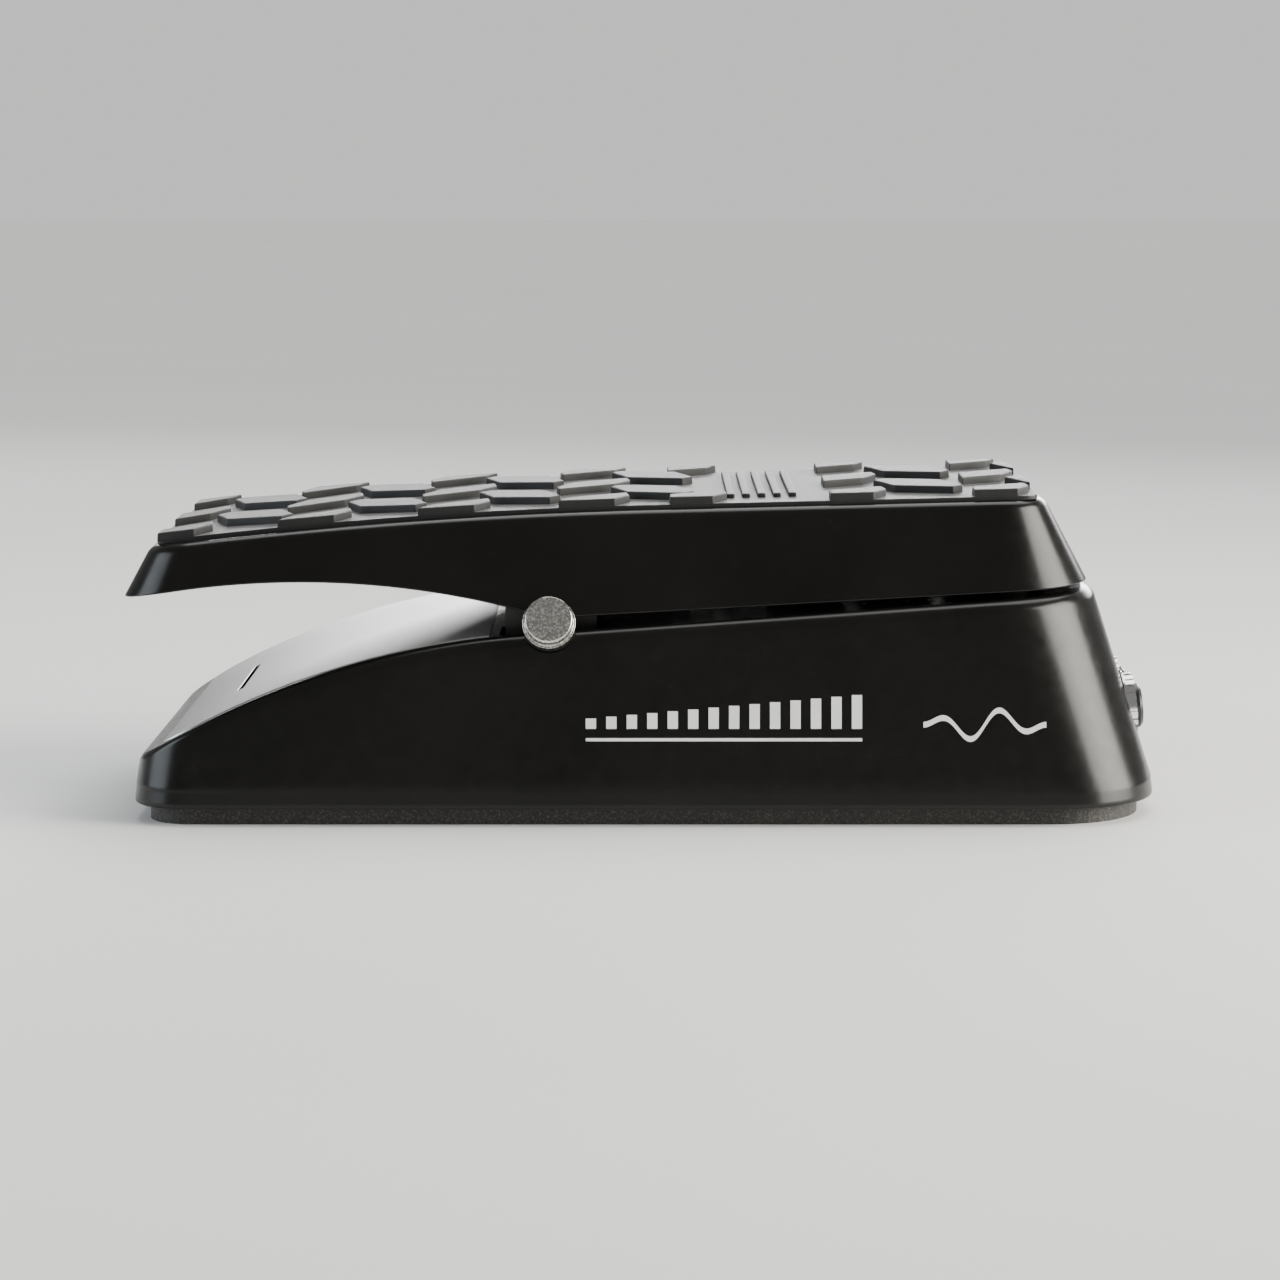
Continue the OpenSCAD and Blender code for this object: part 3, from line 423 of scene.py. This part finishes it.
def add_treadle_bosses(shell):
    """Ears that hold the pivot pins, ribs, and the bosses over the sector's foot and the bumpers."""
    for side in (-1, 1):
        first, last = sorted((EAR_Y0 * side, EAR_Y1 * side))
        boolean(shell, rod_tool((PIVOT_X, 0, PIVOT_Z), (0, 1, 0), EAR_R, first, last, 64), "UNION")
        first, last = sorted((EAR_Y0 * side, (EAR_Y1 - 2.2) * side))
        boolean(shell, box_tool((PIVOT_X - EAR_R, first, PIVOT_Z), (PIVOT_X + EAR_R, last, 51)), "UNION")
        boolean(shell, rod_tool(beside(TOE_STOP, side), (0, 0, 1), 5, 0, 13.5), "UNION")
        boolean(shell, rod_tool(beside(HEEL_STOP, side), (0, 0, 1), 4.5, 0, 4.6), "UNION")
        boolean(shell, rod_tool(beside(SECTOR_FOOT, side), (0, 0, 1), 4.5, 0, 3.5), "UNION")
    for x in TREADLE_RIBS:
        top = tread_top(x) - 1.6
        half = treadle_limits(TREADLE_RIB_Z)[2] - WALL + 0.6
        slant = (top - TREADLE_RIB_Z) * TREADLE_SIDE
        verts = [(x + dx, s * (half - pull), z) for dx in (-1, 1) for s in (-1, 1)
                 for z, pull in ((TREADLE_RIB_Z, 0.0), (top, slant))]
        boolean(shell, make_object("rib", verts, BOX_FACES), "UNION")


def plate_solid(name, edge, off_top, off_low, steps=60):
    """The heel plate's sheet, or the recess for it: a strip bent round the base's top."""
    a0, a1 = PLATE_ENDS
    verts, faces = [], []
    for i in range(steps + 1):
        a = a0 + (a1 - a0) * i / steps
        for off in (off_top, off_low):
            x = ARC_X - (TOP_R + off) * math.sin(a)
            z = ARC_Z + (TOP_R + off) * math.cos(a)
            x0, _, hw = base_limits(z)
            x0, hw, r = x0 + edge, hw - edge, HEEL_R - edge
            x = max(x, x0 + 0.05)
            if x < x0 + r:
                hw = hw - r + smooth_root(r * r - (x0 + r - x) ** 2)
            verts += [(x, -hw, z), (x, hw, z)]
    for i in range(steps):
        p, q = 4 * i, 4 * i + 4
        faces += [(p, p + 1, q + 1, q), (p + 2, q + 2, q + 3, p + 3), (p, q, q + 2, p + 2),
                  (p + 1, p + 3, q + 3, q + 1)]
    last = 4 * steps
    faces += [(0, 2, 3, 1), (last, last + 1, last + 3, last + 2)]
    return make_object(name, verts, faces)


def plate_slot(low, high=5.0, half=0.65, reach=17.3):
    """The slot across the heel plate, square to the sheet, between two heights off the base's top."""
    slope = math.radians(25)
    along, out = (math.cos(slope), math.sin(slope)), (-math.sin(slope), math.cos(slope))
    foot = (ARC_X + TOP_R * out[0], ARC_Z + TOP_R * out[1])
    verts = [(foot[0] + along[0] * u + out[0] * v, y, foot[1] + along[1] * u + out[1] * v)
             for u in (-half, half) for y in (-reach, reach) for v in (low, high)]
    return make_object("tool", verts, BOX_FACES)


def build_heel_plate():
    plate = plate_solid("heel_plate_sheet", PLATE_EDGE, PLATE_PROUD, PLATE_PROUD - PLATE_T)
    boolean(plate, plate_slot(-5))
    boolean(plate, plate_slot(-5, PLATE_PROUD - 0.2, SLOT_UNDER))   # thins the sheet round the slot
    round_edges(plate, 0.25, 2, 50)
    smooth(plate, 35)
    return plate


# ---- tread pad -----------------------------------------------------------------------------------

def block_outline(tip, shoulder, waist, turned):
    """Six corners of a block; a turned block leans the other way."""
    minus = lambda p: (-p[0], -p[1])
    if turned:
        return [minus(tip), minus(shoulder), minus(waist), tip, shoulder, waist]
    return [minus(tip), waist, shoulder, tip, minus(waist), minus(shoulder)]


def clip(points, axis, limit, keep_above):
    """The part of an outline on one side of a line square to an axis."""
    out = []
    inside = lambda p: (p[axis] >= limit) if keep_above else (p[axis] <= limit)
    for i, b in enumerate(points):
        a = points[i - 1]
        if inside(a) != inside(b):
            t = (limit - a[axis]) / (b[axis] - a[axis])
            out.append((a[0] + (b[0] - a[0]) * t, a[1] + (b[1] - a[1]) * t))
        if inside(b):
            out.append(b)
    return out


def area(points):
    return abs(sum(a[0] * b[1] - b[0] * a[1] for a, b in zip(points, points[1:] + points[:1]))) / 2


def prism(verts, faces, outline, low, high, draft=0.12):
    """Adds a block that stands on the treadle's top, a little narrower at the top."""
    n, first = len(outline), len(verts)
    cx = sum(p[0] for p in outline) / n
    cy = sum(p[1] for p in outline) / n
    for off, pull in ((low, 0.0), (high, draft)):
        for x, y in outline:
            far = math.hypot(x - cx, y - cy) or 1
            px, py = x - (x - cx) / far * pull, y - (y - cy) / far * pull
            verts.append((px, py, tread_top(px, off)))
    faces.append(tuple(range(first, first + n))[::-1])
    faces.append(tuple(range(first + n, first + 2 * n)))
    faces += [(first + i, first + (i + 1) % n, first + n + (i + 1) % n, first + n + i) for i in range(n)]


def build_pad():
    outline = half_outline(PAD_X0, PAD_X1, PAD_HW, 3.0, 3.0)
    verts, faces, n = [], [], len(outline)
    for off in (0.02, PAD_SHEET):
        for side in (1, -1):
            verts += [(x, side * y, tread_top(x, off)) for x, y in outline]
    for i in range(n - 1):
        faces += [(i, i + 1, n + i + 1, n + i), (2 * n + i, 3 * n + i, 3 * n + i + 1, 2 * n + i + 1),
                  (i, 2 * n + i, 2 * n + i + 1, i + 1), (n + i, n + i + 1, 3 * n + i + 1, 3 * n + i)]
    pad = make_object("tread_mat", verts, faces)
    round_edges(pad, 0.2, 2, 50)

    verts, faces = [], []
    edge = PAD_HW - 0.02
    straight = block_outline((7, 9.8), (7.6, 4.8), (4.4, -3.4), False)
    turned = [(x * TURNED_STRETCH, y) for x, y in block_outline((6, -10.5), (8.1, -7.5), (4.9, 5), True)]
    # each block's outline, row, middle and the line that its heel end is cut off at
    blocks = [(straight, row, STRAIGHT_X0 + k * STRAIGHT_PITCH, PAD_X0)
              for row in (-2, 0, 2) for k in range(4)]
    blocks += [(straight, row, x, x + SQUARED_CUT) for row in (-2, 0, 2) for x in SQUARED_TOE]
    blocks += [(straight, row, SQUARED_EDGE, SQUARED_EDGE + SQUARED_CUT) for row in (-2, 2)]
    blocks += [(turned, row, TURNED_X0 + k * TURNED_PITCH, PAD_X0)
               for row in (-1, 1) for k in (0, 1, 2, 3, 5, 6)]
    for shape, row, middle, start in blocks:
        cut = [(x + middle, y + row * ROW_PITCH) for x, y in shape]
        for axis, limit, above in ((0, max(start, PAD_X0 + 0.3), True), (0, PAD_X1 - 0.3, False),
                                   (1, -edge, True), (1, edge, False)):
            cut = clip(cut, axis, limit, above)
        if area(cut) > 4:
            prism(verts, faces, cut, PAD_SHEET - 0.3, PAD_H)
    for i in range(5):
        x = RIB_X0 + 0.4 + i * RIB_STEP
        prism(verts, faces, [(x, -RIB_HW), (x + RIB_W, -RIB_HW), (x + RIB_W, RIB_HW), (x, RIB_HW)],
              PAD_SHEET - 0.3, PAD_H - 0.6)
    blocks = make_object("blocks", verts, faces)
    round_edges(blocks, 0.4, 3, 30)
    boolean(pad, blocks, "UNION", True)
    weld(pad)
    smooth(pad, 34)
    return pad


# ---- printed marks -------------------------------------------------------------------------------

def side_point(x, z, proud=0.03):
    """A point on the near side wall of the base."""
    return x, -(base_limits(z)[2] + proud), z


def build_marks():
    """Plain printed marks: a row of rising bars over a thin line, and a wave."""
    verts, faces = [], []

    def strip(upper, lower):
        first = len(verts)
        for (xa, za), (xb, zb) in zip(upper, lower):
            verts.extend([side_point(xa, za), side_point(xb, zb), side_point(xa, za, -0.05),
                          side_point(xb, zb, -0.05)])
        for i in range(len(upper) - 1):
            p, q = first + 4 * i, first + 4 * i + 4
            faces.extend([(p, p + 1, q + 1, q), (p + 2, q + 2, q + 3, p + 3), (p, q, q + 2, p + 2),
                          (p + 1, p + 3, q + 3, q + 1)])
        end = first + 4 * (len(upper) - 1)
        faces.extend([(first, first + 2, first + 3, first + 1), (end, end + 1, end + 3, end + 2)])

    bars, step = 14, 4.0
    for i in range(bars):
        x = -12 + i * step
        strip([(x, 21.2 + i * 0.35), (x + 2.0, 21.2 + i * 0.35)], [(x, 19.2), (x + 2.0, 19.2)])
    strip([(-12, 17.4), (42, 17.4)], [(-12, 16.8), (42, 16.8)])
    middle, half, count = 20.0, 0.55, 60
    wave = [(54 + 24 * i / count, middle + 3.0 * math.sin(4 * math.pi * i / count) *
             math.sin(math.pi * i / count)) for i in range(count + 1)]
    strip([(x, z + half) for x, z in wave], [(x, z - half) for x, z in wave])
    return make_object("side_marks", verts, faces)


# ---- materials -----------------------------------------------------------------------------------

class Look:
    """A procedural material: one shader, and textures laid out in the object's own metres."""

    def __init__(self, name, color, roughness, metallic=0.0, specular=0.5, coat=0.0, sheen=0.0):
        self.material = bpy.data.materials.new(name)
        self.material.use_nodes = True
        self.nodes = self.material.node_tree.nodes
        self.links = self.material.node_tree.links
        self.shader = self.nodes["Principled BSDF"]
        self.shader.inputs["Base Color"].default_value = (*color, 1)
        self.shader.inputs["Roughness"].default_value = roughness
        self.shader.inputs["Metallic"].default_value = metallic
        self.shader.inputs["Specular IOR Level"].default_value = specular
        self.shader.inputs["Coat Weight"].default_value = coat
        self.shader.inputs["Coat Roughness"].default_value = 0.25
        self.shader.inputs["Sheen Weight"].default_value = sheen
        self.place = self.nodes.new("ShaderNodeTexCoord").outputs["Object"]
        self.normal = None

    def noise(self, size, detail=3.0, roughness=0.55, stretch=(1, 1, 1)):
        """Noise whose features are about size millimetres wide, longer where stretch is above 1."""
        mapping = self.nodes.new("ShaderNodeMapping")
        mapping.inputs["Scale"].default_value = [1 / (size * MM * s) for s in stretch]
        self.links.new(self.place, mapping.inputs["Vector"])
        node = self.nodes.new("ShaderNodeTexNoise")
        node.inputs["Scale"].default_value = 1.0
        node.inputs["Detail"].default_value = detail
        node.inputs["Roughness"].default_value = roughness
        self.links.new(mapping.outputs["Vector"], node.inputs["Vector"])
        return node.outputs["Fac"]

    def ramp(self, value, low, high, a, b):
        """a where value is low, b where it is high; a and b are colours or grey levels."""
        node = self.nodes.new("ShaderNodeValToRGB")
        full = lambda c: (*c, 1) if hasattr(c, "__len__") else (c, c, c, 1)
        node.color_ramp.elements[0].position = low
        node.color_ramp.elements[1].position = high
        node.color_ramp.elements[0].color = full(a)
        node.color_ramp.elements[1].color = full(b)
        self.links.new(value, node.inputs["Fac"])
        return node.outputs["Color"]

    def color(self, value, low, high, a, b):
        self.links.new(self.ramp(value, low, high, a, b), self.shader.inputs["Base Color"])
        return self

    def rough(self, value, low, high, a, b):
        self.links.new(self.ramp(value, low, high, a, b), self.shader.inputs["Roughness"])
        return self

    def bump(self, value, height, strength=1.0):
        """A relief of about height millimetres, on top of any earlier one."""
        node = self.nodes.new("ShaderNodeBump")
        node.inputs["Distance"].default_value = height * MM
        node.inputs["Strength"].default_value = strength
        self.links.new(value, node.inputs["Height"])
        if self.normal is not None:
            self.links.new(self.normal, node.inputs["Normal"])
        self.normal = node.outputs["Normal"]
        self.links.new(self.normal, self.shader.inputs["Normal"])
        return self


def black_paint():
    look = Look("black_paint", (0.004, 0.004, 0.004), 0.24, 0.0, 0.3)
    look.color(look.noise(28, 3.0), 0.3, 0.75, (0.0032, 0.003, 0.0026), (0.006, 0.0055, 0.0046))
    look.rough(look.noise(3.0, 4.0), 0.3, 0.75, 0.2, 0.28)
    return look.bump(look.noise(2.2, 2.0), 0.02, 0.3).bump(look.noise(0.35, 2.0), 0.004, 0.3)


def brushed(name, tint, roughness, stretch, grain=0.22):
    look = Look(name, tint, roughness, 1.0)
    lines = look.noise(grain, 4.0, 0.7, stretch)
    look.color(look.noise(14, 3.0), 0.3, 0.8, [c * 0.95 for c in tint], tint)
    look.rough(lines, 0.25, 0.8, roughness - 0.04, roughness + 0.08)
    return look.bump(lines, 0.003, 0.25)


def rubber(name, dark, light, grain, height, speckle=None):
    look = Look(name, dark, 0.6, 0.0, 0.4, 0.0, 0.12)
    fine = look.noise(grain, 5.0, 0.7)
    if speckle:
        look.color(look.noise(speckle, 2.0, 0.8), 0.5, 0.68, dark, light)
    else:
        look.color(look.noise(9, 4.0), 0.3, 0.75, dark, light)
    look.rough(fine, 0.3, 0.75, 0.42, 0.7)
    return look.bump(fine, height, 0.9)


def grainy_nickel():
    look = Look("pin_nickel", (0.62, 0.6, 0.56), 0.26, 1.0)
    grain = look.noise(0.5, 3.0, 0.8)
    look.color(grain, 0.46, 0.6, (0.5, 0.49, 0.45), (0.96, 0.94, 0.88))
    look.rough(grain, 0.35, 0.7, 0.16, 0.32)
    return look.bump(look.noise(0.4, 3.0, 0.8), 0.025, 0.6)


def plain(name, tint, roughness, metallic=0.0, grain=0.4, height=0.01, vary=0.2):
    """Moulded or turned stock: faint mottling and a fine surface grain."""
    look = Look(name, tint, roughness, metallic)
    fine = look.noise(grain, 4.0, 0.65)
    look.color(look.noise(5, 4.0), 0.3, 0.75, [c * (1 - vary) for c in tint], tint)
    look.rough(fine, 0.3, 0.75, max(roughness - 0.08, 0.05), roughness + 0.12)
    return look.bump(fine, height, 0.7)


LOOKS = {
    "black_paint": black_paint,
    "heel_steel": lambda: brushed("heel_steel", (0.6, 0.6, 0.59), 0.36, (6, 1, 6)),
    "dark_plate": lambda: plain("dark_plate", (0.03, 0.03, 0.031), 0.55, 0.0, 0.5, 0.02),
    "sole_rubber": lambda: rubber("sole_rubber", (0.017, 0.0155, 0.0135), (0.075, 0.07, 0.062), 0.5, 0.06, 0.45),
    "tread_rubber": lambda: rubber("tread_rubber", (0.006, 0.006, 0.006), (0.013, 0.013, 0.0125), 0.3, 0.05),
    "bumper_rubber": lambda: rubber("bumper_rubber", (0.015, 0.015, 0.015), (0.025, 0.025, 0.025), 0.4, 0.03),
    "block_metal": lambda: plain("block_metal", (0.035, 0.033, 0.03), 0.48, 0.4, 0.6, 0.02),
    "bronze": lambda: plain("bronze", (0.55, 0.36, 0.16), 0.36, 1.0),
    "pin_nickel": grainy_nickel,
    "jack_nickel": lambda: plain("jack_nickel", (0.8, 0.8, 0.78), 0.12, 1.0, 0.6, 0.004, 0.1),
    "black_screw": lambda: plain("black_screw", (0.04, 0.04, 0.042), 0.4, 0.8),
    "zinc_screw": lambda: plain("zinc_screw", (0.6, 0.6, 0.62), 0.34, 1.0),
    "white_plastic": lambda: plain("white_plastic", (0.8, 0.8, 0.77), 0.45, 0.0, 0.3, 0.006, 0.08),
    "bracket_steel": lambda: brushed("bracket_steel", (0.58, 0.58, 0.56), 0.4, (10, 10, 1)),
    "shaft_steel": lambda: brushed("shaft_steel", (0.7, 0.7, 0.71), 0.25, (1, 10, 1)),
    "contact_brass": lambda: plain("contact_brass", (0.75, 0.58, 0.28), 0.3, 1.0),
    "drum_brass": lambda: brushed("drum_brass", (0.68, 0.5, 0.24), 0.3, (8, 1, 8)),
    "sector_aluminium": lambda: brushed("sector_aluminium", (0.72, 0.72, 0.71), 0.36, (1, 1, 12)),
    "board_green": lambda: plain("board_green", (0.015, 0.11, 0.05), 0.4),
    "jack_plastic": lambda: plain("jack_plastic", (0.012, 0.012, 0.013), 0.28, 0.0, 0.8, 0.006),
    "wire_red": lambda: plain("wire_red", (0.4, 0.03, 0.03), 0.35),
}


def dress(obj, look):
    obj.data.materials.clear()
    obj.data.materials.append(look)


def add_looks():
    """One material per slot, on every CAD node."""
    looks = {slot: make().material for slot, make in LOOKS.items()}
    for row in frame["record"]["subparts"]:
        node = frame["nodes"][row["node"]]
        for entry in node.material_slots:
            entry.material = looks[row["material_slot"]]
    return looks


# ---- stage ---------------------------------------------------------------------------------------

def aim(obj, target):
    obj.rotation_euler = (Vector(target) - obj.location).to_track_quat("-Z", "Y").to_euler()


def area_light(name, place, target, size, power, tint=(1, 1, 1), spread=180):
    data = bpy.data.lights.new(name, "AREA")
    data.shape = "RECTANGLE"
    data.size, data.size_y = size
    data.energy = power
    data.color = tint
    data.spread = math.radians(spread)
    light = bpy.data.objects.new(name, data)
    light.location = place
    light.visible_camera = False
    bpy.context.scene.collection.objects.link(light)
    aim(light, target)


def add_camera():
    data = bpy.data.cameras.new("camera")
    data.lens, data.sensor_width = 100, 36
    camera = bpy.data.objects.new("camera", data)
    camera.location = (-0.0014, -0.7348, 0.1313)
    camera.rotation_euler = (math.radians(90 - 7.85), 0, 0)
    bpy.context.scene.collection.objects.link(camera)
    bpy.context.scene.camera = camera


def add_stage():
    reach = 6000
    corners = ((-reach, -reach, 0), (reach, -reach, 0), (reach, reach, 0), (-reach, reach, 0))
    floor = make_object("floor", corners, [(0, 1, 2, 3)])
    look = Look("floor", (0.8, 0.8, 0.79), 0.9, 0.0, 0.0)
    look.color(look.noise(300, 2.0), 0.3, 0.7, (0.79, 0.79, 0.78), (0.81, 0.81, 0.8))
    dress(floor, look.material)
    add_world(0.25, 0.75)
    sun = bpy.data.lights.new("sun", "SUN")
    sun.energy, sun.angle = 2.3, math.radians(50)
    high = bpy.data.objects.new("sun", sun)
    high.location = (0.15, 0.45, 1.0)
    bpy.context.scene.collection.objects.link(high)
    middle = (0, 0, 0.035)
    aim(high, middle)
    area_light("toe_strip", (0.8, -0.18, 0.28), middle, (0.62, 0.7), 6.6, (1, 0.97, 0.9), 90)
    area_light("heel_strip", (-0.8, -0.2, 0.28), middle, (0.6, 0.5), 1.3, (0.84, 0.92, 1), 90)
    area_light("back_strip", (0.25, 1.1, 0.3), middle, (1.5, 0.22), 2.6, (1, 1, 1), 60)


def add_world(fill, backdrop):
    """Dim light from all round, and a pale backdrop as bright as the far floor."""
    world = bpy.data.worlds.new("studio")
    world.use_nodes = True
    nodes, links = world.node_tree.nodes, world.node_tree.links
    seen = nodes.new("ShaderNodeBackground")
    mix = nodes.new("ShaderNodeMixShader")
    path = nodes.new("ShaderNodeLightPath")
    for node, strength in ((nodes["Background"], fill), (seen, backdrop)):
        node.inputs["Color"].default_value = (1, 1, 0.99, 1)
        node.inputs["Strength"].default_value = strength
    links.new(path.outputs["Is Camera Ray"], mix.inputs["Fac"])
    links.new(nodes["Background"].outputs["Background"], mix.inputs[1])
    links.new(seen.outputs["Background"], mix.inputs[2])
    links.new(mix.outputs["Shader"], nodes["World Output"].inputs["Surface"])
    bpy.context.scene.world = world


# ---- assembly ------------------------------------------------------------------------------------

def install(piece, body, slot, looks, *nodes):
    dress(piece, looks[slot])
    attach(piece, body)
    if nodes:
        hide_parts(*nodes)


add_camera()
add_stage()
looks = add_looks()
install(build_base(), "base", "black_paint", looks, "base_housing")
install(build_treadle(), "treadle", "black_paint", looks, "treadle_casting")
install(build_heel_plate(), "base", "heel_steel", looks, "heel_plate")
install(build_pad(), "treadle", "tread_rubber", looks, "tread_pad")
install(build_cap("cap_right", -1), "treadle", "pin_nickel", looks, "right_pivot_cap")
install(build_cap("cap_left", 1), "treadle", "pin_nickel", looks, "left_pivot_cap")
install(build_marks(), "base", "white_plastic", looks)
